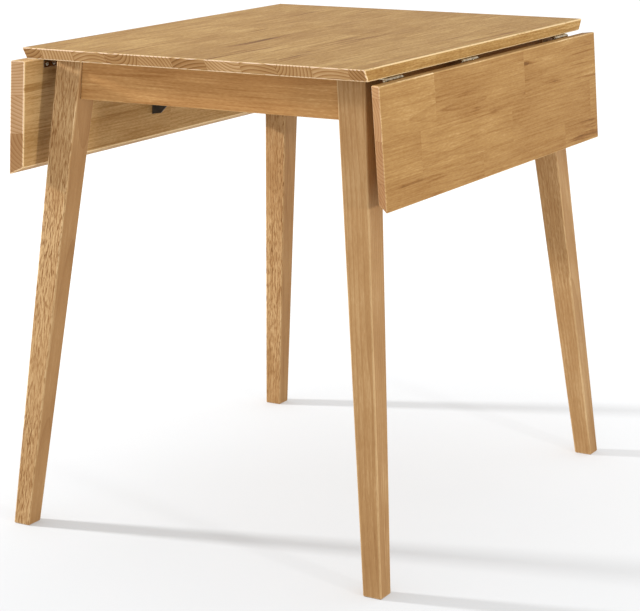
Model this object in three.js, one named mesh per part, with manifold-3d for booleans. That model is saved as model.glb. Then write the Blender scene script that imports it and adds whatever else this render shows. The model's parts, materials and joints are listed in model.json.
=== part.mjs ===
// Drop leaf table: a fixed centre panel on a four-legged frame, with a hinged leaf on each
// side. Each leaf hangs beside the frame and folds up level with the panel, guided by a stay: a
// strut pivoted on the side rail, whose pin slides in a curved slot in a bracket on the leaf.
//
// Millimetres, +Z up. The origin is on the floor under the middle of the table. X runs across
// the table, from the left leaf to the right leaf, and Y from the front to the back. Pieces
// that repeat left and right, or at each corner, are drawn once where x and y are positive.

import * as THREE from 'three';
import { mergeVertices } from 'three/addons/utils/BufferGeometryUtils.js';
import Module from 'manifold-3d';

const wasm = await Module();
wasm.setup();

// ---------------------------------------------------------------- driving dimensions

const HEIGHT = 750; // floor to the top surface
const TOP_WIDTH = 585; // centre panel, between the two leaf joints
const TOP_DEPTH = 740; // front edge to back edge
const BOARD = 18; // thickness of the centre panel and of the leaves
const UNDERCUT = 11; // how far a free edge leans in from its top arris to its bottom one
const LEAF_WIDTH = 175; // leaf, from the joint to its free edge
const JOINT_GAP = 2; // centre panel to leaf, when the leaf is level
const LEAF_LIFT = 86; // degrees from hanging to level

const LEG_INSET = { x: 27, y: 50 }; // panel edge to a leg's outer faces, under the panel
const LEG_SPLAY = { x: 65, y: 73 }; // how far a foot stands out beyond the top of its leg
const LEG_TOP = 46; // square section at the top of a leg
const LEG_FOOT = 30; // and at the floor

const APRON_BOTTOM = 670; // height of the aprons' lower edge
const APRON_THICKNESS = 20;
const APRON_RECESS = 2; // a leg's outer face to the apron's face, at the top

const GAP = 0.3; // clearance between pieces that meet

const BLOCK = { thickness: 22, bottom: 684, fromLeg: 12.4 }; // diagonal corner blocks
const BOLT = { radius: 4, z: 705, inLeg: 28, beyondBlock: 12 }; // hanger bolts
const WASHER = { radius: 9, thickness: 1.6 };
const NUT = { radius: 7.5, thickness: 6 };

// Wood screws, as the holes that they fill.
const TOP_SCREW = { radius: 2.2, length: 58, spread: 19 };
const BLOCK_SCREW = { radius: 2, head: 4, length: 22, z: 700, depth: 8 };
const HINGE_SCREW = { radius: 1.5, length: 12, x: 10.5, spacing: 17 };
const STAY_SCREW = { radius: 1.8, length: 12 };

// Butt hinges, three to a leaf.
const HINGES = [
  ['front', -289],
  ['middle', -51],
  ['back', 280],
];
const HINGE_LENGTH = 50;
const HINGE_PLATE = { width: 16, thickness: 1.5 };
const KNUCKLES = 5;
const KNUCKLE_GAP = 0.5;
const AXIS_DROP = 3.3; // underside of the level boards to the hinge axis
const PIN = { radius: 1.3, head: 2.3, tip: 1.4, headHeight: 1 };

// Stays. Their points are x outward and z up from the hinge axis, with the leaf level.
const STAY_PIVOT = { x: -21.5, z: -28 };
const STRUT = { x: 80, z: 14.3, radius: 7 }; // from its pivot to its slide pin
const STRUT_Y = [-16.5, -14];
const BRACKET_STEEL = 2;
const LEAF_BRACKET = {
  x: [24, 127], // along the leaf, away from the hinges
  y: [-19, 8],
  depth: 32, // of its web, from the leaf
  slopes: [28, 20.5], // how far from each end the web reaches its full depth
  tip: { inset: 3.7, depth: 17.2 }, // the web's corner at its far end
};
const RAIL_BRACKET = { y: [-13.5, 14.5], z: [-50, -2], earRadius: 9 };
const SLOT_HALF_WIDTH = 3.1;
const RIVET = { radius: 2.5, head: 4.5, headHeight: 1.5 };
const LEAF_BRACKET_SCREWS = { x: [34, 74, 112], y: -4 };
const RAIL_BRACKET_SCREWS = { z: [-40, -12], y: 4 };

const OVERSHOOT = 1; // how far a cutting tool reaches beyond what it cuts

// How many flat sides stand for each round.
const SIDES_OF = {
  bar: 16,
  washer: 20,
  nut: 6,
  barrel: 12,
  pin: 10,
  hole: 24,
  screwHole: 6,
  counterbore: 12,
  bracketEnd: 12,
  slot: 16,
  slotEnd: 8,
};

// ---------------------------------------------------------------- worked out from those

const UNDERSIDE = HEIGHT - BOARD;
const AXIS = { x: TOP_WIDTH / 2 + JOINT_GAP / 2, z: UNDERSIDE - AXIS_DROP };
const LEG_OUTER = { x: TOP_WIDTH / 2 - LEG_INSET.x, y: TOP_DEPTH / 2 - LEG_INSET.y };
const APRON_FACE = { x: LEG_OUTER.x - APRON_RECESS, y: LEG_OUTER.y - APRON_RECESS };
const APRON_BACK = { x: APRON_FACE.x - APRON_THICKNESS, y: APRON_FACE.y - APRON_THICKNESS };
const PLATE_TOP = AXIS_DROP - GAP; // upper face of hinge plates and leaf brackets, from the axis
const BARREL_RADIUS = PLATE_TOP;
const HINGE_SEAT = PLATE_TOP - HINGE_PLATE.thickness;

const CORNERS = [
  ['front_left', -1, -1],
  ['front_right', 1, -1],
  ['back_left', -1, 1],
  ['back_right', 1, 1],
];
const SIDES = [
  ['left', -1],
  ['right', 1],
];

// ---------------------------------------------------------------- finishes

const TOP_WOOD = { color: 0xc49a62, roughness: 0.5, metalness: 0 };
const FRAME_WOOD = { color: 0xbe9462, roughness: 0.5, metalness: 0 };
const BLOCK_WOOD = { color: 0xb78d5c, roughness: 0.7, metalness: 0 };
const HINGE_STEEL = { color: 0xb9b8b2, roughness: 0.35, metalness: 1 };
const BLACK_STEEL = { color: 0x1d1d1f, roughness: 0.45, metalness: 0.4 };
const ZINC = { color: 0xc8c4b4, roughness: 0.4, metalness: 1 };

// ---------------------------------------------------------------- shapes

// A box whose lower and upper rectangles may differ: each is {x: [a, b], y: [a, b], z}.
function taperedBlock(lower, upper) {
  const geometry = new THREE.BoxGeometry(1, 1, 1);
  const position = geometry.attributes.position;
  for (let i = 0; i < position.count; i++) {
    const end = position.getZ(i) > 0 ? upper : lower;
    const x = position.getX(i) > 0 ? Math.max(...end.x) : Math.min(...end.x);
    const y = position.getY(i) > 0 ? Math.max(...end.y) : Math.min(...end.y);
    position.setXYZ(i, x, y, end.z);
  }
  return geometry;
}

function block(x, y, [z0, z1]) {
  return taperedBlock({ x, y, z: z0 }, { x, y, z: z1 });
}

function extrude(outline, depth, holes = []) {
  const toPoints = (pairs) => pairs.map(([u, v]) => new THREE.Vector2(u, v));
  const shape = new THREE.Shape(toPoints(outline));
  shape.holes = holes.map((hole) => new THREE.Path(toPoints(hole)));
  return new THREE.ExtrudeGeometry(shape, { depth, bevelEnabled: false });
}

// An outline of [x, y] points, standing from z0 to z1.
function prism(outline, [z0, z1]) {
  return extrude(outline, z1 - z0).translate(0, 0, z0);
}

// An outline of [x, z] points, as a flat plate from y0 to y1.
function plate(outline, [y0, y1], holes) {
  return extrude(outline, y1 - y0, holes).rotateX(Math.PI / 2).translate(0, y1, 0);
}

// A round bar from one point to another.
function bar(from, to, radius, sides = SIDES_OF.bar) {
  const start = new THREE.Vector3(...from);
  const run = new THREE.Vector3(...to).sub(start);
  const turn = new THREE.Quaternion();
  turn.setFromUnitVectors(THREE.Object3D.DEFAULT_UP, run.clone().normalize());
  const middle = start.addScaledVector(run, 0.5);
  return new THREE.CylinderGeometry(radius, radius, run.length(), sides)
    .applyQuaternion(turn)
    .translate(middle.x, middle.y, middle.z);
}

// Points on an arc about {x, z}, between two angles in degrees.
function arc(centre, radius, from, to, steps) {
  return Array.from({ length: steps + 1 }, (_, i) => {
    const angle = THREE.MathUtils.degToRad(from + ((to - from) * i) / steps);
    return [centre.x + radius * Math.cos(angle), centre.z + radius * Math.sin(angle)];
  });
}

// A whole circle, without its first point again at the end.
const circle = (centre, radius) => arc(centre, radius, 0, 360, SIDES_OF.hole).slice(1);

// ---------------------------------------------------------------- cutting and joining

function toSolid(geometry) {
  const bare = geometry.clone();
  bare.deleteAttribute('normal');
  bare.deleteAttribute('uv');
  const merged = mergeVertices(bare, 1e-4);
  const vertProperties = new Float32Array(merged.attributes.position.array);
  const triVerts = new Uint32Array(merged.index.array);
  return new wasm.Manifold(new wasm.Mesh({ numProp: 3, vertProperties, triVerts }));
}

function toGeometry(solid) {
  const mesh = solid.getMesh();
  const geometry = new THREE.BufferGeometry();
  geometry.setAttribute('position', new THREE.BufferAttribute(new Float32Array(mesh.vertProperties), 3));
  geometry.setIndex(new THREE.BufferAttribute(new Uint32Array(mesh.triVerts), 1));
  geometry.computeVertexNormals();
  return geometry;
}

function join(...pieces) {
  return toGeometry(pieces.map(toSolid).reduce((whole, piece) => whole.add(piece)));
}

function cut(piece, ...tools) {
  return toGeometry(tools.map(toSolid).reduce((whole, tool) => whole.subtract(tool), toSolid(piece)));
}

// A copy mirrored where a sign is negative, with its faces still pointing out.
function reflect(geometry, signX, signY) {
  const copy = geometry.clone().scale(signX, signY, 1);
  if (signX * signY > 0) return copy;
  const index = copy.index.array;
  for (let i = 0; i < index.length; i += 3) {
    [index[i + 1], index[i + 2]] = [index[i + 2], index[i + 1]];
  }
  return copy;
}

const atCorners = (geometry) => CORNERS.map(([, signX, signY]) => reflect(geometry, signX, signY));
const atSides = (geometry) => SIDES.map(([, side]) => reflect(geometry, side, 1));

const table = new THREE.Group();

function add(name, geometry, finish, parent = table) {
  const mesh = new THREE.Mesh(geometry, new THREE.MeshStandardMaterial(finish));
  mesh.name = name;
  parent.add(mesh);
}

function mirroredGroup(signX, signY) {
  const group = new THREE.Group();
  group.scale.set(signX, signY, 1);
  table.add(group);
  return group;
}

// ---------------------------------------------------------------- screw holes

// "seat" is where the screw's head bears, and "into" the unit direction it is driven in.
const along = (seat, into, distance) => seat.map((value, i) => value + into[i] * distance);

function screwHole({ seat, into }, size) {
  const [start, end] = [along(seat, into, -OVERSHOOT), along(seat, into, size.length + GAP)];
  return bar(start, end, size.radius + GAP, SIDES_OF.screwHole);
}

function counterbore({ seat, into }, size) {
  const start = along(seat, into, -size.depth - BLOCK.thickness);
  return bar(start, seat, size.head + GAP, SIDES_OF.counterbore);
}

const UP = [0, 0, 1];

// ---------------------------------------------------------------- legs and aprons

// A leg's outer corner and section at a height.
function legAt(z) {
  const down = (UNDERSIDE - z) / UNDERSIDE;
  return {
    x: LEG_OUTER.x + LEG_SPLAY.x * down,
    y: LEG_OUTER.y + LEG_SPLAY.y * down,
    section: LEG_TOP + (LEG_FOOT - LEG_TOP) * down,
  };
}

function legRectangle(z) {
  const { x, y, section } = legAt(z);
  return { x: [x - section, x], y: [y - section, y], z };
}

// A point on the diagonal through the leg's inner corner, positive into the leg.
const legCorner = legRectangle(BOLT.z);
function onBolt(distance) {
  const step = distance / Math.SQRT2;
  return [legCorner.x[0] + step, legCorner.y[0] + step, BOLT.z];
}

function leg() {
  const whole = taperedBlock(legRectangle(0), legRectangle(UNDERSIDE - GAP));
  return cut(whole, bar(onBolt(-LEG_TOP), onBolt(BOLT.inLeg + GAP), BOLT.radius + GAP));
}

// The ends of an apron lean with the inner faces of the legs that it stands between.
function frontOrBackApron() {
  const rectangle = (z) => {
    const reach = legRectangle(z).x[0] - GAP;
    return { x: [-reach, reach], y: [APRON_BACK.y, APRON_FACE.y], z };
  };
  return taperedBlock(rectangle(APRON_BOTTOM), rectangle(UNDERSIDE - GAP));
}

function sideApron() {
  const rectangle = (z) => {
    const reach = legRectangle(z).y[0] - GAP;
    return { x: [APRON_BACK.x, APRON_FACE.x], y: [-reach, reach], z };
  };
  return taperedBlock(rectangle(APRON_BOTTOM), rectangle(UNDERSIDE - GAP));
}

// ---------------------------------------------------------------- corner blocks and bolts

// The sums x + y on the block's outer and inner faces.
const blockOuter = legCorner.x[0] + legCorner.y[0] - BLOCK.fromLeg * Math.SQRT2;
const blockInner = blockOuter - BLOCK.thickness * Math.SQRT2;
const blockMiddle = (blockOuter + blockInner) / 2;
const behindBlock = -(BLOCK.fromLeg + BLOCK.thickness); // its inner face, along the bolt

// Two screws rise through each block into the centre panel, one each side of the bolt.
const topScrews = [-TOP_SCREW.spread, TOP_SCREW.spread].map((offset) => {
  const x = (blockMiddle + legCorner.x[0] - legCorner.y[0]) / 2 + offset;
  return { seat: [x, blockMiddle - x, BLOCK.bottom], into: UP };
});

// One screw holds each end of the block to its apron, in a counterbore.
const blockScrews = [
  { seat: [blockMiddle - APRON_BACK.y, APRON_BACK.y - BLOCK_SCREW.depth, BLOCK_SCREW.z], into: [0, 1, 0] },
  { seat: [APRON_BACK.x - BLOCK_SCREW.depth, blockMiddle - APRON_BACK.x, BLOCK_SCREW.z], into: [1, 0, 0] },
];
const blockScrewHoles = blockScrews.map((place) => screwHole(place, BLOCK_SCREW));

function cornerBlock() {
  const reach = { x: APRON_BACK.x - GAP, y: APRON_BACK.y - GAP };
  const outline = [
    [blockOuter - reach.y, reach.y],
    [blockInner - reach.y, reach.y],
    [reach.x, blockInner - reach.x],
    [reach.x, blockOuter - reach.x],
  ];
  const boltHole = bar(onBolt(behindBlock - OVERSHOOT), onBolt(0), BOLT.radius + GAP);
  return cut(
    prism(outline, [BLOCK.bottom, UNDERSIDE - GAP]),
    boltHole,
    ...topScrews.map((place) => screwHole(place, TOP_SCREW)),
    ...blockScrewHoles,
    ...blockScrews.map((place) => counterbore(place, BLOCK_SCREW)),
  );
}

// What is threaded on the bolt behind the block.
const washerFace = behindBlock - GAP;
const nutFace = washerFace - WASHER.thickness - GAP;

function bolt() {
  return bar(onBolt(BOLT.inLeg), onBolt(behindBlock - BOLT.beyondBlock), BOLT.radius);
}

function ringOnBolt(from, thickness, radius, sides) {
  const bore = bar(onBolt(from + OVERSHOOT), onBolt(from - thickness - OVERSHOOT), BOLT.radius + GAP);
  return cut(bar(onBolt(from), onBolt(from - thickness), radius, sides), bore);
}

// ---------------------------------------------------------------- hinges

// One half of a butt hinge, drawn level along +X with its axis at the origin.
function hingeHalf(y, ownsKnuckle, screws) {
  const start = y - HINGE_LENGTH / 2;
  const pitch = HINGE_LENGTH / KNUCKLES;
  const z = [HINGE_SEAT, PLATE_TOP];
  const parts = [block([BARREL_RADIUS + KNUCKLE_GAP, HINGE_PLATE.width], [start, start + HINGE_LENGTH], z)];
  for (let i = 0; i < KNUCKLES; i++) {
    if (!ownsKnuckle(i)) continue;
    const from = start + i * pitch + KNUCKLE_GAP / 2;
    const to = start + (i + 1) * pitch - KNUCKLE_GAP / 2;
    parts.push(block([0, BARREL_RADIUS + 2 * KNUCKLE_GAP], [from, to], z));
    parts.push(bar([0, from, 0], [0, to, 0], BARREL_RADIUS, SIDES_OF.barrel));
  }
  const boreEnds = [start - OVERSHOOT, start + HINGE_LENGTH + OVERSHOOT];
  const bore = bar(...boreEnds.map((at) => [0, at, 0]), PIN.radius + GAP, SIDES_OF.pin);
  return cut(join(...parts), bore, ...screws.map((place) => screwHole(place, HINGE_SCREW)));
}

const fixedKnuckles = (i) => i % 2 === 0;
const movingKnuckles = (i) => i % 2 === 1;

function hingePin(y) {
  const half = HINGE_LENGTH / 2 + GAP;
  const end = half + PIN.headHeight;
  const profile = [
    [0, -end],
    [PIN.tip, -end],
    [PIN.head, -half],
    [PIN.radius, -half],
    [PIN.radius, half],
    [PIN.head, half],
    [PIN.tip, end],
    [0, end],
  ];
  const points = profile.map(([radius, at]) => new THREE.Vector2(radius, at));
  return new THREE.LatheGeometry(points, SIDES_OF.pin).translate(0, y, 0);
}

function hingeScrews(y) {
  return [-1, 0, 1].map((step) => ({
    seat: [HINGE_SCREW.x, y + step * HINGE_SCREW.spacing, HINGE_SEAT],
    into: UP,
  }));
}

// ---------------------------------------------------------------- stays

// As the leaf turns, the strut turns with it, so in the leaf's own frame the slide pin follows
// an arc as long in radius as the pivot is far from the hinge axis.
const slotRadius = Math.hypot(STAY_PIVOT.x, STAY_PIVOT.z);
const slotLevel = THREE.MathUtils.radToDeg(Math.atan2(STAY_PIVOT.z, STAY_PIVOT.x));
const slotHanging = slotLevel + LEAF_LIFT;

function slotOutline() {
  const endCap = (angle, turn) => {
    const [[x, z]] = arc(STRUT, slotRadius, angle, angle, 1);
    return arc({ x, z }, SLOT_HALF_WIDTH, angle + turn, angle + turn + 180, SIDES_OF.slotEnd);
  };
  return [
    ...arc(STRUT, slotRadius + SLOT_HALF_WIDTH, slotLevel, slotHanging, SIDES_OF.slot),
    ...endCap(slotHanging, 0).slice(1, -1),
    ...arc(STRUT, slotRadius - SLOT_HALF_WIDTH, slotHanging, slotLevel, SIDES_OF.slot),
    ...endCap(slotLevel, 180).slice(1, -1),
  ];
}

const leafBracketScrews = LEAF_BRACKET_SCREWS.x.map((x) => ({
  seat: [x, LEAF_BRACKET_SCREWS.y, PLATE_TOP - BRACKET_STEEL],
  into: UP,
}));

function leafBracket() {
  const { x, y, depth, slopes, tip } = LEAF_BRACKET;
  const below = (distance) => AXIS_DROP - distance;
  const web = [
    [x[0], PLATE_TOP],
    [x[0], PLATE_TOP - BRACKET_STEEL],
    [x[0] + slopes[0], below(depth)],
    [x[1] - slopes[1], below(depth)],
    [x[1] - tip.inset, below(tip.depth)],
    [x[1], PLATE_TOP],
  ];
  const flange = block(x, y, [PLATE_TOP - BRACKET_STEEL, PLATE_TOP]);
  const upright = plate(web, [y[0], y[0] + BRACKET_STEEL], [slotOutline()]);
  return cut(join(flange, upright), ...leafBracketScrews.map((place) => screwHole(place, STAY_SCREW)));
}

const railBack = APRON_FACE.x - AXIS.x + GAP; // face against the rail, from the axis
const railBracketScrews = RAIL_BRACKET_SCREWS.z.map((z) => ({
  seat: [railBack + BRACKET_STEEL, RAIL_BRACKET_SCREWS.y, z],
  into: [-1, 0, 0],
}));

function railBracket() {
  const { y, z, earRadius } = RAIL_BRACKET;
  const ear = [
    [railBack, STAY_PIVOT.z - earRadius],
    ...arc(STAY_PIVOT, earRadius, -90, 90, SIDES_OF.bracketEnd),
    [railBack, STAY_PIVOT.z + earRadius],
  ];
  const hole = circle(STAY_PIVOT, RIVET.radius + GAP);
  const flange = block([railBack, railBack + BRACKET_STEEL], y, z);
  const upright = plate(ear, [y[0], y[0] + BRACKET_STEEL], [hole]);
  return cut(join(flange, upright), ...railBracketScrews.map((place) => screwHole(place, STAY_SCREW)));
}

// The strut has its pivot at the origin.
function strut() {
  const pivot = { x: 0, z: 0 };
  const lean = THREE.MathUtils.radToDeg(Math.atan2(STRUT.z, STRUT.x));
  const outline = [
    ...arc(STRUT, STRUT.radius, lean - 90, lean + 90, SIDES_OF.bracketEnd),
    ...arc(pivot, STRUT.radius, lean + 90, lean + 270, SIDES_OF.bracketEnd),
  ];
  const holes = [circle(STRUT, RIVET.radius + GAP), circle(pivot, RIVET.radius + GAP)];
  return plate(outline, STRUT_Y, holes);
}

// A rivet along Y through what lies between y0 and y1, with a head beyond each.
function rivet({ x, z }, y0, y1) {
  const { radius, head, headHeight } = RIVET;
  return join(
    bar([x, y0 - headHeight / 2, z], [x, y1 + headHeight / 2, z], radius),
    bar([x, y0 - headHeight, z], [x, y0, z], head),
    bar([x, y1, z], [x, y1 + headHeight, z], head),
  );
}

// ---------------------------------------------------------------- assembly: frame

for (const [name, signX, signY] of CORNERS) {
  const corner = mirroredGroup(signX, signY);
  add(`${name}_leg`, leg(), FRAME_WOOD, corner);
  add(`${name}_corner_block`, cornerBlock(), BLOCK_WOOD, corner);
  add(`${name}_hanger_bolt`, bolt(), ZINC, corner);
  const washer = ringOnBolt(washerFace, WASHER.thickness, WASHER.radius, SIDES_OF.washer);
  add(`${name}_bolt_washer`, washer, ZINC, corner);
  add(`${name}_bolt_nut`, ringOnBolt(nutFace, NUT.thickness, NUT.radius, SIDES_OF.nut), ZINC, corner);
}

const longApron = cut(
  frontOrBackApron(),
  reflect(blockScrewHoles[0], 1, 1),
  reflect(blockScrewHoles[0], -1, 1),
);
add('front_apron', longApron, FRAME_WOOD, mirroredGroup(1, -1));
add('back_apron', longApron, FRAME_WOOD, mirroredGroup(1, 1));

// ---------------------------------------------------------------- assembly: hinges and leaves

// From the axis, the fixed plates lie towards -X, so their level drawing is turned about.
const hingePlaces = HINGES.flatMap(([, y]) => hingeScrews(y));
const onFixedPlates = hingePlaces.map(({ seat: [x, y, z], into }) => ({ seat: [-x, y, z], into }));
const toFrame = (geometry) => geometry.clone().translate(AXIS.x, 0, AXIS.z);

function leaf() {
  const inner = JOINT_GAP / 2;
  const outer = inner + LEAF_WIDTH;
  const half = TOP_DEPTH / 2;
  const board = taperedBlock(
    { x: [inner, outer - UNDERCUT], y: [-half + UNDERCUT, half - UNDERCUT], z: AXIS_DROP },
    { x: [inner, outer], y: [-half, half], z: AXIS_DROP + BOARD },
  );
  return cut(
    board,
    ...hingePlaces.map((place) => screwHole(place, HINGE_SCREW)),
    ...leafBracketScrews.map((place) => screwHole(place, STAY_SCREW)),
  );
}

for (const [name, side] of SIDES) {
  // What stays with the frame, what swings with the leaf, and what turns with the strut. The
  // last two are drawn with the leaf level and turned down to hang.
  const frameSide = mirroredGroup(side, 1);
  const fixed = new THREE.Group();
  fixed.position.set(AXIS.x, 0, AXIS.z);
  const swinging = fixed.clone();
  swinging.rotation.y = THREE.MathUtils.degToRad(LEAF_LIFT);
  const turning = swinging.clone();
  turning.position.add(new THREE.Vector3(STAY_PIVOT.x, 0, STAY_PIVOT.z));
  frameSide.add(fixed, swinging, turning);

  const apron = cut(
    sideApron(),
    ...[1, -1].map((signY) => reflect(blockScrewHoles[1], 1, signY)),
    ...railBracketScrews.map((place) => toFrame(screwHole(place, STAY_SCREW))),
  );
  add(`${name}_side_apron`, apron, FRAME_WOOD, frameSide);

  for (const [place, y] of HINGES) {
    const fixedHalf = reflect(hingeHalf(y, fixedKnuckles, hingeScrews(y)), -1, 1);
    add(`${name}_${place}_hinge_frame_plate`, fixedHalf, HINGE_STEEL, fixed);
    const movingHalf = hingeHalf(y, movingKnuckles, hingeScrews(y));
    add(`${name}_${place}_hinge_leaf_plate`, movingHalf, HINGE_STEEL, swinging);
    add(`${name}_${place}_hinge_pin`, hingePin(y), HINGE_STEEL, fixed);
  }

  add(`${name}_leaf`, leaf(), TOP_WOOD, swinging);

  add(`${name}_stay_leaf_bracket`, leafBracket(), BLACK_STEEL, swinging);
  add(`${name}_stay_rail_bracket`, railBracket(), BLACK_STEEL, fixed);
  add(`${name}_stay_strut`, strut(), BLACK_STEEL, turning);

  const earBack = RAIL_BRACKET.y[0] + BRACKET_STEEL + GAP;
  add(`${name}_stay_pivot_rivet`, rivet(STAY_PIVOT, STRUT_Y[0] - GAP, earBack), BLACK_STEEL, fixed);
  const slidePin = rivet(STRUT, LEAF_BRACKET.y[0] - GAP, STRUT_Y[1] + GAP);
  add(`${name}_stay_slide_pin`, slidePin, BLACK_STEEL, turning);
}

// ---------------------------------------------------------------- assembly: centre panel

// Its front and back edges lean in under the top, and the edges at the leaves are square.
const half = { x: TOP_WIDTH / 2, y: TOP_DEPTH / 2 };
const panel = taperedBlock(
  { x: [-half.x, half.x], y: [-half.y + UNDERCUT, half.y - UNDERCUT], z: UNDERSIDE },
  { x: [-half.x, half.x], y: [-half.y, half.y], z: HEIGHT },
);
const panelHoles = [
  ...onFixedPlates.flatMap((place) => atSides(toFrame(screwHole(place, HINGE_SCREW)))),
  ...topScrews.flatMap((place) => atCorners(screwHole(place, TOP_SCREW))),
];
add('centre_panel', cut(panel, ...panelHoles), TOP_WOOD);

export default table;
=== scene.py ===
"""Drop leaf table: its looks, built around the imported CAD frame. Metres, +Z up."""

import json
import math
import random

import bmesh
import bpy
from mathutils import Matrix, Vector


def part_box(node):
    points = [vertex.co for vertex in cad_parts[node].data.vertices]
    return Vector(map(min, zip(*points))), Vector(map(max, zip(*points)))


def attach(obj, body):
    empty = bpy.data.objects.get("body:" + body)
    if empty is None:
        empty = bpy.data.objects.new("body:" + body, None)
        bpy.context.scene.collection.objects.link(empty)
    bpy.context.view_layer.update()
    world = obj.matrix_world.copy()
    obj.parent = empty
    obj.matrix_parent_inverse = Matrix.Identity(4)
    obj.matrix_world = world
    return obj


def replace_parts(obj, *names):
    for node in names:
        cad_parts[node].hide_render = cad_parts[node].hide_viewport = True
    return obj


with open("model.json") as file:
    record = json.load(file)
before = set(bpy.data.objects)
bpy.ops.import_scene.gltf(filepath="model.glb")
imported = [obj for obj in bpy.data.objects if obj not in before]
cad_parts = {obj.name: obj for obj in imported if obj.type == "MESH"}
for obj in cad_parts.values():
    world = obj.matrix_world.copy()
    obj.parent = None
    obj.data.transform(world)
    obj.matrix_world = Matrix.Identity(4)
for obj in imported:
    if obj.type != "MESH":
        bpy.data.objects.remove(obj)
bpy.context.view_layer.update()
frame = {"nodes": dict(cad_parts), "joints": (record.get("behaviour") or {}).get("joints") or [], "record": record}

BODIES = frame["record"]["behaviour"]["bodies"]
JOINTS = {joint["name"]: joint for joint in frame["joints"]}
SIDES = {"left": -1, "right": 1}
CORNERS = {"front_left": (-1, -1), "front_right": (1, -1), "back_left": (-1, 1), "back_right": (1, 1)}
HINGES = ("front", "middle", "back")

# Eased edges of the wood.
TOP_ARRIS = 0.0018
LEG_ARRIS = 0.0024
APRON_ARRIS = 0.0013
BLOCK_ARRIS = 0.0006

# Lamination: the width of a stave, and the length of the blocks in it.
STAVE = 0.0585
PANEL_BLOCK = 0.62
LEAF_BLOCK = 0.30

# Growth rings: their spacing, how far they wander, and how far the pith is from the middle of
# its stave or board, at least and beyond that.
RING = 0.0052
RING_DRIFT = 0.030
PITH_NEAREST = 0.022
PITH_SPREAD = 0.070

# The marks of the wood: how many to a metre across, along and through the grain.
FIBRE = (430.0, 11.0, 430.0)
SPECKLE = (640.0, 120.0, 640.0)
DASH = (950.0, 70.0, 950.0)
STREAK = (115.0, 5.5, 115.0)
STREAK_CLUSTER = (10.0, 2.4, 10.0)
CLOUD = (17.0, 7.0, 17.0)
DRIFT = (7.0, 2.2, 7.0)
KNOT = (7.0, 5.0, 7.0)

# Where the usual face of a board and its palest parts are on the scale of tones, and how far
# along the scale each of the others takes it.
USUAL_SHADE = 0.30
PALEST_SHADE = 0.12
CLOUD_DEPTH = 0.40
RING_DEPTH = 0.10
BLOCK_DEPTH = 0.08
END_BLOCK_DEPTH = 0.14
END_DEPTH = 0.10
KNOT_DEPTH = 0.55
GLUE_DEPTH = 0.16

# For each leaf, the seed of its boards and how far it is from the usual tone. The tones are
# painted light: the left leaf is paler against the shade on its inner face, and the right one
# darker against the fill light on its outer face.
LEAF_SEEDS_AND_PAINTED_LIGHT = {"left": (23, -0.10), "right": (37, 0.08)}

# For each leg, how dark its flecks are and how far it is from the usual tone.
LEG_MARKS = {
    "front_left": (0.85, 0.05),
    "front_right": (0.05, 0.0),
    "back_left": (0.40, 0.06),
    "back_right": (0.16, 0.0),
}

# Eased edges of the metal, and the angle from which an edge is eased.
FASTENER_ARRIS = 0.0003
HINGE_ARRIS = 0.00025
STAY_ARRIS = 0.0004
SHARP_ANGLE = math.radians(50)

# Screws, in the hinge axis's frame where they hold hinges and stays.
HINGE_SCREW = {"reach": 0.0105, "spacing": 0.017, "seat": 0.0015}
LEAF_BRACKET_SCREWS = {"reaches": (0.034, 0.074, 0.112), "y": -0.004, "seat": 0.0010}
RAIL_BRACKET_SCREWS = {"heights": (-0.040, -0.012), "y": 0.004, "seat": 0.0023}
BLOCK = {"thickness": 0.022, "top_spread": 0.019, "side_depth": 0.0077, "side_height": 0.700}

# How far below its head a screw's thread starts.
THREAD_START = 0.0006

# A corner within this height of the end of a leg belongs to that end.
END_REACH = 0.0005

LIGHTS = {
    # A near key from the left, which fans the legs' shadows out to the right.
    "key": {"place": (-2.99, -1.03, 1.50), "aim": (0, 0, 0.4), "size": 0.25, "power": 120},
    "right_fill": {"place": (4.46, -1.61, 0.86), "aim": (-0.3, -0.34, 0.64), "size": 0.3,
                   "power": 74},
}
WORLD_STRENGTH = 0.92

CAMERA_PLACE = (1.6347, -2.7767, 1.1067)
CAMERA_YAW, CAMERA_PITCH, CAMERA_ROLL = 30.443, -13.939, -0.472
CAMERA_LENS = 114.9
SENSOR_WIDTH = 36


# ------------------------------------------------------------------ shader nodes


def srgb(red, green, blue):
    """A colour given as 0 to 255, as the linear values that shaders take."""
    def linear(value):
        share = value / 255
        return share / 12.92 if share <= 0.04045 else ((share + 0.055) / 1.055) ** 2.4
    return (linear(red), linear(green), linear(blue), 1.0)


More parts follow.
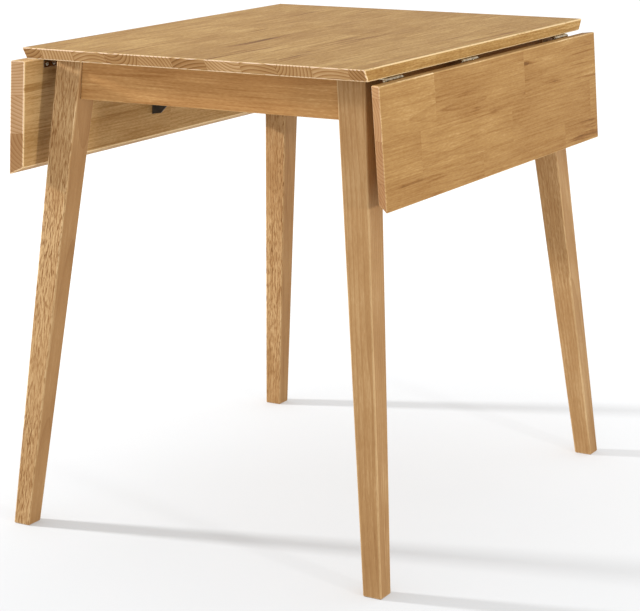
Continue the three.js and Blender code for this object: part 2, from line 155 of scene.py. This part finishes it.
class Graph:
    """A material and short calls that add nodes to it."""

    def __init__(self, name):
        self.material = bpy.data.materials.new(name)
        self.material.use_nodes = True
        self.tree = self.material.node_tree
        self.shader = self.tree.nodes["Principled BSDF"]

    def put(self, socket, value):
        if isinstance(value, bpy.types.NodeSocket):
            self.tree.links.new(value, socket)
        else:
            socket.default_value = value

    def node(self, kind, inputs, output=0, **settings):
        made = self.tree.nodes.new("ShaderNode" + kind)
        for key, value in settings.items():
            setattr(made, key, value)
        for key, value in inputs.items():
            self.put(made.inputs[key], value)
        return made.outputs[output]

    def math(self, operation, a, b=0.0):
        return self.node("Math", {0: a, 1: b}, operation=operation)

    def times(self, a, b):
        return self.math("MULTIPLY", a, b)

    def vector(self, operation, a, b=(0.0, 0.0, 0.0), output=0):
        return self.node("VectorMath", {0: a, 1: b}, output=output, operation=operation)

    def split(self, vector):
        made = self.tree.nodes.new("ShaderNodeSeparateXYZ")
        self.put(made.inputs[0], vector)
        return made.outputs

    def facing(self, normal, direction):
        """How squarely a surface faces along or against direction, from 0 to 1."""
        return self.math("ABSOLUTE", self.vector("DOT_PRODUCT", normal, direction, "Value"))

    def total(self, *terms):
        whole = terms[0]
        for term in terms[1:]:
            whole = self.math("ADD", whole, term)
        return whole

    def scaled(self, value, factor, middle=0.0):
        """How far value is from middle, times factor."""
        return self.times(self.math("SUBTRACT", value, middle), factor)

    def step(self, value, low, high, reach=1.0):
        """0 below low, reach above high, and smooth between them."""
        return self.node(
            "MapRange",
            {"Value": value, "From Min": low, "From Max": high, "To Max": reach},
            interpolation_type="SMOOTHSTEP",
        )

    def stretched_noise(self, point, scale, detail=2.0, distortion=0.0):
        """Noise whose scale, per metre, differs along the three axes of point."""
        return self.node("TexNoise", {
            "Vector": self.vector("MULTIPLY", point, scale),
            "Scale": 1.0,
            "Detail": detail,
            "Distortion": distortion,
        })

    def ramp(self, value, stops):
        made = self.tree.nodes.new("ShaderNodeValToRGB")
        elements = made.color_ramp.elements
        while len(elements) < len(stops):
            elements.new(0.5)
        for element, (position, colour) in zip(elements, stops):
            element.position = position
            element.color = colour
        self.put(made.inputs[0], value)
        return made.outputs[0]

    def finish(self, colour, roughness, height, relief, **sockets):
        """Joins the shader up. relief is the bump's depth in metres."""
        self.put(self.shader.inputs["Base Color"], colour)
        self.put(self.shader.inputs["Roughness"], roughness)
        bump = self.node("Bump", {"Height": height, "Distance": relief, "Strength": 1.0})
        self.put(self.shader.inputs["Normal"], bump)
        for name, value in sockets.items():
            self.put(self.shader.inputs[name.replace("_", " ")], value)
        return self.material


# ------------------------------------------------------------------ wood

# From the palest, which only eased edges reach with their sanded wear and painted highlight, to the darkest
# streaks.
PANEL_TONES = (
    (0.00, srgb(230, 201, 152)),
    (0.12, srgb(195, 158, 100)),
    (0.30, srgb(171, 132, 75)),
    (0.60, srgb(142, 99, 48)),
    (1.00, srgb(74, 42, 16)),
)
LEAF_TONES = (
    (0.00, srgb(230, 200, 152)),
    (0.12, srgb(194, 157, 105)),
    (0.30, srgb(168, 129, 77)),
    (0.60, srgb(140, 97, 50)),
    (1.00, srgb(74, 42, 18)),
)
APRON_TONES = (
    (0.00, srgb(222, 190, 142)),
    (0.12, srgb(204, 164, 110)),
    (0.30, srgb(179, 134, 83)),
    (0.60, srgb(149, 103, 57)),
    (1.00, srgb(80, 46, 21)),
)
LEG_TONES = (
    (0.00, srgb(224, 195, 152)),
    (0.12, srgb(190, 156, 112)),
    (0.30, srgb(163, 125, 82)),
    (0.60, srgb(135, 95, 56)),
    (1.00, srgb(76, 43, 21)),
)
RAW_TONES = (
    (0.00, srgb(188, 160, 120)),
    (0.40, srgb(170, 136, 94)),
    (0.70, srgb(146, 110, 72)),
    (1.00, srgb(96, 64, 38)),
)


def laminated(graph, dice, seed, across, along, stave, block):
    """Staves across a board and blocks along each. Gives a key to the block, the place across
    its stave from the middle, how near that is to a seam, and three random values."""
    row_place = graph.math("ADD", graph.math("DIVIDE", across, stave), dice.random())
    row = graph.math("FLOOR", row_place)
    row_share = graph.math("FRACT", row_place)
    in_row = graph.scaled(row_share, stave, 0.5)
    seam = graph.math("ABSOLUTE", graph.scaled(row_share, 2.0, 0.5))
    row_key = graph.node("CombineXYZ", {0: row, 1: float(seed)})
    start = graph.times(graph.node("TexWhiteNoise", {"Vector": row_key}, output="Value"), 9.0)
    part = graph.math("FLOOR", graph.math("ADD", graph.math("DIVIDE", along, block), start))
    key = graph.node("CombineXYZ", {0: row, 1: part, 2: float(seed)})
    values = graph.split(graph.node("TexWhiteNoise", {"Vector": key}, output="Color"))
    return key, in_row, seam, values


def growth_rings(graph, grain_point, across, through, turn, distance):
    """Rings about a pith, from 0 at the start of a year to 1 at its end. turn and distance, from
    0 to 1, say where the pith is."""
    angle = graph.times(turn, 2 * math.pi)
    reach = graph.math("ADD", graph.times(distance, PITH_SPREAD), PITH_NEAREST)
    drift = graph.scaled(graph.stretched_noise(grain_point, DRIFT, detail=1.0), RING_DRIFT, 0.5)
    from_pith = graph.node("CombineXYZ", {
        0: graph.math("SUBTRACT", across, graph.times(graph.math("COSINE", angle), reach)),
        1: graph.math("SUBTRACT", through, graph.times(graph.math("SINE", angle), reach)),
    })
    radius = graph.vector("LENGTH", from_pith, output="Value")
    phase = graph.math("DIVIDE", graph.math("ADD", radius, drift), RING)
    return graph.math("POWER", graph.math("FRACT", phase), 3.0)


def wood(name, seed, to_grain, tones, stave=None, block=1.0, tone=0.0, figure=0.46, streak=0.2,
         fleck=0.0, end_rings=0.36, edge=0.12, roughness=0.42):
    """Wood as a solid texture, so that faces, edges and ends agree. to_grain takes the row frame
    to x across the boards, y along the grain and z through them. A laminated board has staves as
    wide as stave, and each is of blocks as long as block. figure, streak, fleck and end_rings are
    how dark the fine grain, the long streaks, the short marks on faces towards z, and the rings
    on end grain are. edge is how pale the eased edges are, partly from sanded wear and partly as a
    painted highlight."""
    graph = Graph(name)
    dice = random.Random(seed)
    coordinates = graph.tree.nodes.new("ShaderNodeTexCoord")
    point = graph.node("Mapping", {
        "Vector": coordinates.outputs["Object"],
        "Location": to_grain.to_translation(),
        "Rotation": to_grain.to_euler(),
    })
    across, along, through = graph.split(point)
    if stave:
        key, across, seam, values = laminated(graph, dice, seed, across, along, stave, block)
        turn, distance, shade = values
    else:
        turn, distance, shade = dice.random(), dice.random(), 0.5
        key = (dice.random(), dice.random(), dice.random())

    # Each block is cut from its own place in a tree, so its rings turn about its own pith.
    grain_point = graph.vector("ADD", graph.vector("MULTIPLY", key, (3.1, 5.3, 7.7)), point)
    ring = growth_rings(graph, grain_point, across, through, turn, distance)

    fibre = graph.stretched_noise(grain_point, FIBRE, detail=3.0)
    speckle = graph.stretched_noise(grain_point, SPECKLE, detail=1.0)
    cloud = graph.stretched_noise(grain_point, CLOUD, detail=4.0)
    # Dark streaks, gathered in some places and missing from others.
    gather = graph.step(graph.stretched_noise(grain_point, STREAK_CLUSTER), 0.40, 0.62)
    lines = graph.stretched_noise(grain_point, STREAK, detail=3.0, distortion=0.4)
    streaks = graph.times(graph.step(lines, 0.54, 0.70, streak), gather)
    # A small dark pin knot here and there.
    knot_point = graph.vector("MULTIPLY", grain_point, KNOT)
    knot = graph.node("TexVoronoi", {"Vector": knot_point, "Scale": 1.0}, output="Distance")

    # 0 on a face and 1 on end grain.
    normal = coordinates.outputs["Normal"]
    to_row = to_grain.to_3x3().inverted()
    end = graph.step(graph.facing(normal, to_row @ Vector((0, 1, 0))), 0.45, 0.85)

    # The flecks are on one pair of faces, which cut the tree's rays squarely.
    dashes = graph.stretched_noise(grain_point, DASH, detail=2.0, distortion=0.2)
    fleck_reach = graph.times(
        graph.step(graph.facing(normal, to_row @ Vector((0, 0, 1))), 0.4, 0.9, fleck),
        graph.math("ADD", graph.times(gather, 0.7), 0.3),
    )
    flecks = graph.times(graph.math("SUBTRACT", graph.step(dashes, 0.50, 0.60), 0.35), fleck_reach)

    face_marks = graph.total(
        graph.scaled(fibre, figure, 0.5),
        graph.scaled(speckle, figure * 0.75, 0.5),
        streaks,
        flecks,
    )
    ring_depth = graph.math("ADD", graph.times(end, end_rings), RING_DEPTH)
    block_depth = graph.math("ADD", graph.times(end, END_BLOCK_DEPTH), BLOCK_DEPTH)
    shade_sum = graph.total(
        USUAL_SHADE + tone,
        graph.times(graph.math("SUBTRACT", shade, 0.5), block_depth),
        graph.scaled(cloud, CLOUD_DEPTH, 0.5),
        graph.times(graph.math("SUBTRACT", ring, 0.25), ring_depth),
        graph.times(face_marks, graph.math("SUBTRACT", 1.0, end)),
        graph.times(end, END_DEPTH),
        graph.step(knot, 0.030, 0.010, KNOT_DEPTH),
    )
    if stave:
        # The thin line of glue between staves.
        shade_sum = graph.math("ADD", shade_sum, graph.step(seam, 0.982, 1.0, GLUE_DEPTH))
    # Eased edges are paler: partly sanded wear, partly a painted highlight along the arris.
    arris = graph.node("Attribute", {}, output="Fac", attribute_name="arris")
    shade_sum = graph.math("SUBTRACT", graph.math("MAXIMUM", shade_sum, PALEST_SHADE),
                           graph.times(arris, edge))

    # End grain is less yellow.
    tint = graph.node("CombineXYZ", {0: 1.0, 1: 1.0, 2: graph.math("ADD", graph.times(end, 0.32), 1.0)})
    colour = graph.vector("MULTIPLY", graph.ramp(shade_sum, tones), tint)
    height = graph.total(fibre, speckle, graph.times(ring, -0.3))
    shine = graph.math("ADD", graph.times(fibre, 0.18), roughness)
    return graph.finish(colour, shine, height, relief=0.00010, Specular_IOR_Level=0.05)


# ------------------------------------------------------------------ metals


def metal(name, pale, dark, roughness, metallic=1.0, relief=0.00002):
    """Plated or painted steel, with faint clouding, fine scratches and a slight texture."""
    graph = Graph(name)
    point = graph.tree.nodes.new("ShaderNodeTexCoord").outputs["Object"]
    cloud = graph.stretched_noise(point, (90.0, 90.0, 90.0), detail=3.0)
    scratch = graph.stretched_noise(point, (2600.0, 120.0, 2600.0), detail=2.0)
    peel = graph.stretched_noise(point, (1500.0, 1500.0, 1500.0), detail=1.0)
    colour = graph.ramp(cloud, ((0.30, dark), (0.72, pale)))
    shine = graph.total(roughness, graph.scaled(cloud, 0.16, 0.5), graph.scaled(scratch, 0.14, 0.5))
    height = graph.math("ADD", scratch, peel)
    return graph.finish(colour, shine, height, relief, Metallic=metallic)


HINGE_STEEL = metal("hinge_steel", srgb(216, 200, 170), srgb(130, 114, 92), 0.16)
ZINC = metal("zinc_fasteners", srgb(212, 208, 190), srgb(170, 166, 150), 0.36)
BLACK_STEEL = metal("black_steel", srgb(64, 62, 58), srgb(44, 43, 41), 0.42, metallic=0.0,
                    relief=0.00004)


# ------------------------------------------------------------------ pieces


def add_piece(name, bm, material, body):
    """A finished piece from mesh code, smooth shaded, riding on a body of the frame."""
    for face in bm.faces:
        face.smooth = True
    mesh = bpy.data.meshes.new(name)
    bm.to_mesh(mesh)
    bm.free()
    mesh.materials.append(material)
    piece = bpy.data.objects.new(name, mesh)
    bpy.context.scene.collection.objects.link(piece)
    normals = piece.modifiers.new("normals", "WEIGHTED_NORMAL")
    normals.weight = 100
    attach(piece, body)
    return piece


def body_holding(node):
    return next(body for body, nodes in BODIES.items() if node in nodes)


def board(node, own_frame, arris, material):
    """A six-sided board in place of a CAD board, at its corners, with eased edges."""
    inverse = own_frame.inverted()
    points = [inverse @ vertex.co for vertex in frame["nodes"][node].data.vertices]
    size = [max(p[i] for p in points) - min(p[i] for p in points) for i in range(3)]
    bm = bmesh.new()
    bmesh.ops.create_cube(bm, size=2.0)
    for vertex in bm.verts:
        sign = vertex.co.copy()
        # The last axis counts for most, since the two rectangles across it may be offset.
        weights = (sign.x / size[0], sign.y / size[1], 10 * sign.z / size[2])
        corner = max(points, key=lambda p: sum(w * c for w, c in zip(weights, p)))
        vertex.co = own_frame @ corner
    bmesh.ops.recalc_face_normals(bm, faces=bm.faces)
    # Marks the eased faces, which the wood paints paler: sanded wear and a painted highlight.
    layer = bm.faces.layers.float.new("arris")
    eased = bmesh.ops.bevel(bm, geom=bm.edges[:] + bm.verts[:], offset=arris, segments=3,
                            profile=0.5, affect="EDGES", clamp_overlap=True)
    for face in eased["faces"]:
        face[layer] = 1.0
    piece = add_piece(node + "_wood", bm, material, body_holding(node))
    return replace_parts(piece, node)


def hardware(node, width, material):
    """A CAD piece of metal or a cut block, rebuilt with its sharp edges eased."""
    bm = bmesh.new()
    bm.from_mesh(frame["nodes"][node].data)
    bmesh.ops.remove_doubles(bm, verts=bm.verts, dist=1e-6)
    bmesh.ops.dissolve_limit(bm, angle_limit=math.radians(1), verts=bm.verts, edges=bm.edges)
    sharp = [edge for edge in bm.edges
             if len(edge.link_faces) == 2 and edge.calc_face_angle() > SHARP_ANGLE]
    bmesh.ops.bevel(bm, geom=sharp, offset=width, segments=2, profile=0.5, affect="EDGES",
                    clamp_overlap=True)
    piece = add_piece(node + "_finish", bm, material, body_holding(node))
    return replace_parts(piece, node)


# ------------------------------------------------------------------ screws


def lathe(profile, segments=28):
    """A solid turned about Z from (radius, z) points that start and end on the axis."""
    bm = bmesh.new()
    rings = []
    for radius, z in profile:
        if radius == 0:
            rings.append([bm.verts.new((0, 0, z))] * segments)
            continue
        angles = [2 * math.pi * i / segments for i in range(segments)]
        rings.append([bm.verts.new((radius * math.cos(a), radius * math.sin(a), z)) for a in angles])
    for lower, upper in zip(rings, rings[1:]):
        for i in range(segments):
            j = (i + 1) % segments
            corners = []
            for vertex in (lower[i], lower[j], upper[j], upper[i]):
                if vertex not in corners:
                    corners.append(vertex)
            bm.faces.new(corners)
    bmesh.ops.recalc_face_normals(bm, faces=bm.faces)
    return bm


def as_object(bm, name):
    mesh = bpy.data.meshes.new(name)
    bm.to_mesh(mesh)
    bm.free()
    made = bpy.data.objects.new(name, mesh)
    bpy.context.scene.collection.objects.link(made)
    return made


def screw_mesh(name, head, height, shank, length):
    """A pan-head screw with a cross recess. It is driven along +Z and bears at z = 0. head and
    shank are radii."""
    dome = [(head * math.sin(math.radians(a)), -height * math.cos(math.radians(a)))
            for a in range(0, 90, 18)]
    root, pitch = shank * 0.72, shank * 0.9
    thread = []
    z = THREAD_START
    while z < length - 2 * pitch:
        thread += [(root, z), (shank, z + pitch / 2)]
        z += pitch
    profile = [*dome, (head, -height * 0.12), (head * 0.96, 0), *thread,
               (shank * 0.6, length - pitch), (0, length)]
    blank = as_object(lathe(profile), name + "_blank")
    cutter_bm = bmesh.new()
    stretch = Matrix.Diagonal((head * 1.1, head * 0.24, height * 1.1, 1))
    for turn in (0, math.pi / 2):
        arm = bmesh.ops.create_cube(cutter_bm, size=1.0)["verts"]
        place = Matrix.Translation((0, 0, -height)) @ Matrix.Rotation(turn, 4, "Z")
        bmesh.ops.transform(cutter_bm, matrix=place @ stretch, verts=arm)
    cutter = as_object(cutter_bm, name + "_cutter")
    recess = blank.modifiers.new("recess", "BOOLEAN")
    recess.operation = "DIFFERENCE"
    recess.object = cutter
    recess.use_self = True
    bpy.context.view_layer.update()
    evaluated = blank.evaluated_get(bpy.context.evaluated_depsgraph_get())
    finished = bpy.data.meshes.new_from_object(evaluated)
    for spare in (blank, cutter):
        bpy.data.objects.remove(spare)
    return finished


def driven(mesh, seat, into, spin, bm):
    """Adds a copy of a screw to bm, bearing at seat and driven along into."""
    turn = Vector((0, 0, 1)).rotation_difference(Vector(into)).to_matrix().to_4x4()
    place = Matrix.Translation(seat) @ turn @ Matrix.Rotation(spin, 4, "Z")
    before = len(bm.verts)
    bm.from_mesh(mesh)
    bm.verts.ensure_lookup_table()
    bmesh.ops.transform(bm, matrix=place, verts=bm.verts[before:])


def screw_group(name, mesh, places, body, material):
    """One piece that holds a set of like screws on one body."""
    dice = random.Random(name)
    bm = bmesh.new()
    for seat, into in places:
        driven(mesh, seat, into, dice.random() * math.pi, bm)
    for face in bm.faces:
        face.smooth = True
    return add_piece(name, bm, material, body)


# ------------------------------------------------------------------ frames of the parts


def axis_frame(side):
    """From the frame of a hinge axis, with x outward, to the row frame."""
    joint = JOINTS[side + "_leaf_hinge"]
    return Matrix.Translation(joint["pos_m"]) @ Matrix.Diagonal((SIDES[side], 1, 1, 1))


def leaf_frame(side):
    """The same for the leaf's own frame, which is drawn level and hangs at rest."""
    lift = math.radians(JOINTS[side + "_leaf_hinge"]["range_deg"][1])
    return axis_frame(side) @ Matrix.Rotation(lift, 4, "Y")


def unmirrored(matrix, side):
    return matrix @ Matrix.Diagonal((SIDES[side], 1, 1, 1))


def to_middle(node):
    """Moves the middle of a node's box to the origin."""
    low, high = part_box(node)
    return Matrix.Translation(-(Vector(low) + Vector(high)) / 2)


def leg_direction(node):
    """Up a leg, through the middles of its two ends."""
    corners = [vertex.co for vertex in frame["nodes"][node].data.vertices]
    middles = []
    for level in (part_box(node)[0].z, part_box(node)[1].z):
        end = [corner for corner in corners if abs(corner.z - level) < END_REACH]
        middles.append(sum(end, Vector()) / len(end))
    return (middles[1] - middles[0]).normalized()


# ------------------------------------------------------------------ the wood pieces

IDENTITY = Matrix.Identity(4)
ALONG_X = Matrix.Rotation(math.radians(90), 4, "Z")


def build_wood():
    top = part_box("centre_panel")
    panel = wood("panel_wood", 11, Matrix.Translation((0, 0, -(top[0].z + top[1].z) / 2)), PANEL_TONES,
                 STAVE, PANEL_BLOCK, figure=0.62, streak=0.42, edge=0.40)
    board("centre_panel", IDENTITY, TOP_ARRIS, panel)
    for side, (seed, tone) in LEAF_SEEDS_AND_PAINTED_LIGHT.items():
        own = unmirrored(leaf_frame(side), side)
        # The leaves' tones are painted light: the left paler against its shade, the right darker against the fill.
        material = wood(side + "_leaf_wood", seed, own.inverted(), LEAF_TONES, STAVE, LEAF_BLOCK,
                        tone=tone, figure=0.36, streak=0.26, end_rings=0.14, edge=0.24)
        board(side + "_leaf", own, TOP_ARRIS, material)

    aprons = {
        "front_apron": (41, ALONG_X),
        "back_apron": (42, ALONG_X),
        "left_side_apron": (51, IDENTITY),
        "right_side_apron": (52, IDENTITY),
    }
    for node, (seed, turn) in aprons.items():
        material = wood(node + "_wood", seed, turn @ to_middle(node), APRON_TONES, tone=0.06,
                        figure=0.38)
        board(node, IDENTITY, APRON_ARRIS, material)

    for index, corner in enumerate(CORNERS):
        node = corner + "_leg"
        turn = leg_direction(node).rotation_difference(Vector((0, 1, 0))).to_matrix().to_4x4()
        fleck, tone = LEG_MARKS[corner]
        material = wood(node + "_wood", 61 + index, turn @ to_middle(node), LEG_TONES, tone=tone,
                        figure=0.17, streak=0.12, fleck=fleck)
        board(node, IDENTITY, LEG_ARRIS, material)

    for index, (corner, (sign_x, sign_y)) in enumerate(CORNERS.items()):
        turn = Matrix.Rotation(math.radians(-45 * sign_x * sign_y), 4, "Z")
        material = wood(corner + "_block_wood", 71 + index, turn @ ALONG_X, RAW_TONES, roughness=0.65)
        hardware(corner + "_corner_block", BLOCK_ARRIS, material)


# ------------------------------------------------------------------ the metal pieces


def build_metal():
    for corner in CORNERS:
        for part in ("hanger_bolt", "bolt_washer", "bolt_nut"):
            hardware(f"{corner}_{part}", FASTENER_ARRIS, ZINC)
    for side in SIDES:
        for place in HINGES:
            for part in ("frame_plate", "leaf_plate", "pin"):
                hardware(f"{side}_{place}_hinge_{part}", HINGE_ARRIS, HINGE_STEEL)
        for part in ("rail_bracket", "leaf_bracket", "strut", "pivot_rivet", "slide_pin"):
            hardware(f"{side}_stay_{part}", STAY_ARRIS, BLACK_STEEL)


def build_screws():
    small = screw_mesh("small_screw", head=0.0031, height=0.0012, shank=0.0015, length=0.0115)
    stay = screw_mesh("stay_screw", head=0.0034, height=0.0014, shank=0.0017, length=0.0115)
    large = screw_mesh("large_screw", head=0.0042, height=0.0022, shank=0.0020, length=0.0560)
    block = screw_mesh("block_screw", head=0.0038, height=0.0020, shank=0.0018, length=0.0210)
    up = Vector((0, 0, 1))

    frame_hinge, frame_stay = [], []
    for side, sign in SIDES.items():
        level, leaf = axis_frame(side), leaf_frame(side)
        into_leaf = (leaf.to_3x3() @ up).normalized()
        leaf_hinge = []
        for place in HINGES:
            low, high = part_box(f"{side}_{place}_hinge_frame_plate")
            for step in (-1, 0, 1):
                y = (low.y + high.y) / 2 + step * HINGE_SCREW["spacing"]
                frame_hinge.append((level @ Vector((-HINGE_SCREW["reach"], y, HINGE_SCREW["seat"])), up))
                seat = leaf @ Vector((HINGE_SCREW["reach"], y, HINGE_SCREW["seat"]))
                leaf_hinge.append((seat, into_leaf))
        screw_group(side + "_leaf_hinge_screws", small, leaf_hinge, side + "_leaf", ZINC)

        at = LEAF_BRACKET_SCREWS
        places = [(leaf @ Vector((x, at["y"], at["seat"])), into_leaf) for x in at["reaches"]]
        screw_group(side + "_stay_leaf_screws", stay, places, side + "_leaf", BLACK_STEEL)

        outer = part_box(side + "_side_apron")[1 if sign > 0 else 0].x
        seat_x = outer + sign * RAIL_BRACKET_SCREWS["seat"]
        for height in RAIL_BRACKET_SCREWS["heights"]:
            z = (level @ Vector((0, 0, height))).z
            frame_stay.append((Vector((seat_x, RAIL_BRACKET_SCREWS["y"], z)), Vector((-sign, 0, 0))))
    screw_group("frame_hinge_screws", small, frame_hinge, "frame", ZINC)
    screw_group("frame_stay_screws", stay, frame_stay, "frame", BLACK_STEEL)

    top_places, block_places = [], []
    for corner, (sign_x, sign_y) in CORNERS.items():
        low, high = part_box(corner + "_corner_block")
        reach = Vector((max(abs(low.x), abs(high.x)), max(abs(low.y), abs(high.y))))
        # The box's middle is on the block's inner face.
        inward = BLOCK["thickness"] / 2 / math.sqrt(2)
        middle = Vector((abs(low.x + high.x) / 2 + inward, abs(low.y + high.y) / 2 + inward))
        for spread in (-BLOCK["top_spread"], BLOCK["top_spread"]):
            x, y = middle.x + spread, middle.y - spread
            top_places.append((Vector((sign_x * x, sign_y * y, low.z)), up))
        depth, height = BLOCK["side_depth"], BLOCK["side_height"]
        total = middle.x + middle.y
        block_places.append((Vector((sign_x * (total - reach.y), sign_y * (reach.y - depth), height)),
                             Vector((0, sign_y, 0))))
        block_places.append((Vector((sign_x * (reach.x - depth), sign_y * (total - reach.x), height)),
                             Vector((sign_x, 0, 0))))
    screw_group("top_fixing_screws", large, top_places, "frame", ZINC)
    screw_group("corner_block_screws", block, block_places, "frame", ZINC)


# ------------------------------------------------------------------ floor, light and camera


def build_floor():
    bpy.ops.mesh.primitive_plane_add(size=80)
    floor = bpy.context.object
    floor.name = "floor"
    graph = Graph("floor")
    point = graph.tree.nodes.new("ShaderNodeTexCoord").outputs["Object"]
    mottle = graph.stretched_noise(point, (3.0, 3.0, 3.0))
    # The floor's faint blue offsets the warm light bounced onto it from the wood: painted light.
    colour = graph.ramp(mottle, ((0.3, (0.50, 0.51, 0.52, 1)), (0.7, (0.51, 0.52, 0.53, 1))))
    # Painted light: the floor glows a little, and more so to the right, against the key's fall-off,
    # and far away.
    away = graph.vector("DISTANCE", point, (0.3, -1.0, 0.0), "Value")
    glow = graph.total(0.17, graph.step(graph.split(point)[0], -1.2, 1.4, 0.15),
                       graph.step(away, 0.3, 4.0, 0.45))
    floor.data.materials.append(graph.finish(
        colour, roughness=0.9, height=mottle, relief=0.0, Specular_IOR_Level=0.0,
        Emission_Color=(1, 1, 1, 1), Emission_Strength=glow))


def area_light(name, place, aim, size, power):
    light = bpy.data.lights.new(name, "AREA")
    light.size = size
    light.energy = power
    made = bpy.data.objects.new(name, light)
    made.location = place
    made.rotation_euler = (Vector(aim) - Vector(place)).to_track_quat("-Z", "Y").to_euler()
    bpy.context.scene.collection.objects.link(made)


def build_light():
    world = bpy.data.worlds.new("studio")
    bpy.context.scene.world = world
    world.use_nodes = True
    background = world.node_tree.nodes["Background"]
    background.inputs["Color"].default_value = (1, 1, 1, 1)
    background.inputs["Strength"].default_value = WORLD_STRENGTH

    for name, settings in LIGHTS.items():
        area_light(name, **settings)


def build_camera():
    data = bpy.data.cameras.new("camera")
    data.lens = CAMERA_LENS
    data.sensor_width = SENSOR_WIDTH
    camera = bpy.data.objects.new("camera", data)
    turn = (Matrix.Rotation(math.radians(CAMERA_YAW), 4, "Z")
            @ Matrix.Rotation(math.radians(90 + CAMERA_PITCH), 4, "X")
            @ Matrix.Rotation(math.radians(CAMERA_ROLL), 4, "Z"))
    camera.matrix_world = Matrix.Translation(CAMERA_PLACE) @ turn
    bpy.context.scene.collection.objects.link(camera)
    bpy.context.scene.camera = camera


bpy.context.scene.view_settings.view_transform = "Standard"
build_camera()
build_light()
build_floor()
build_wood()
build_metal()
build_screws()
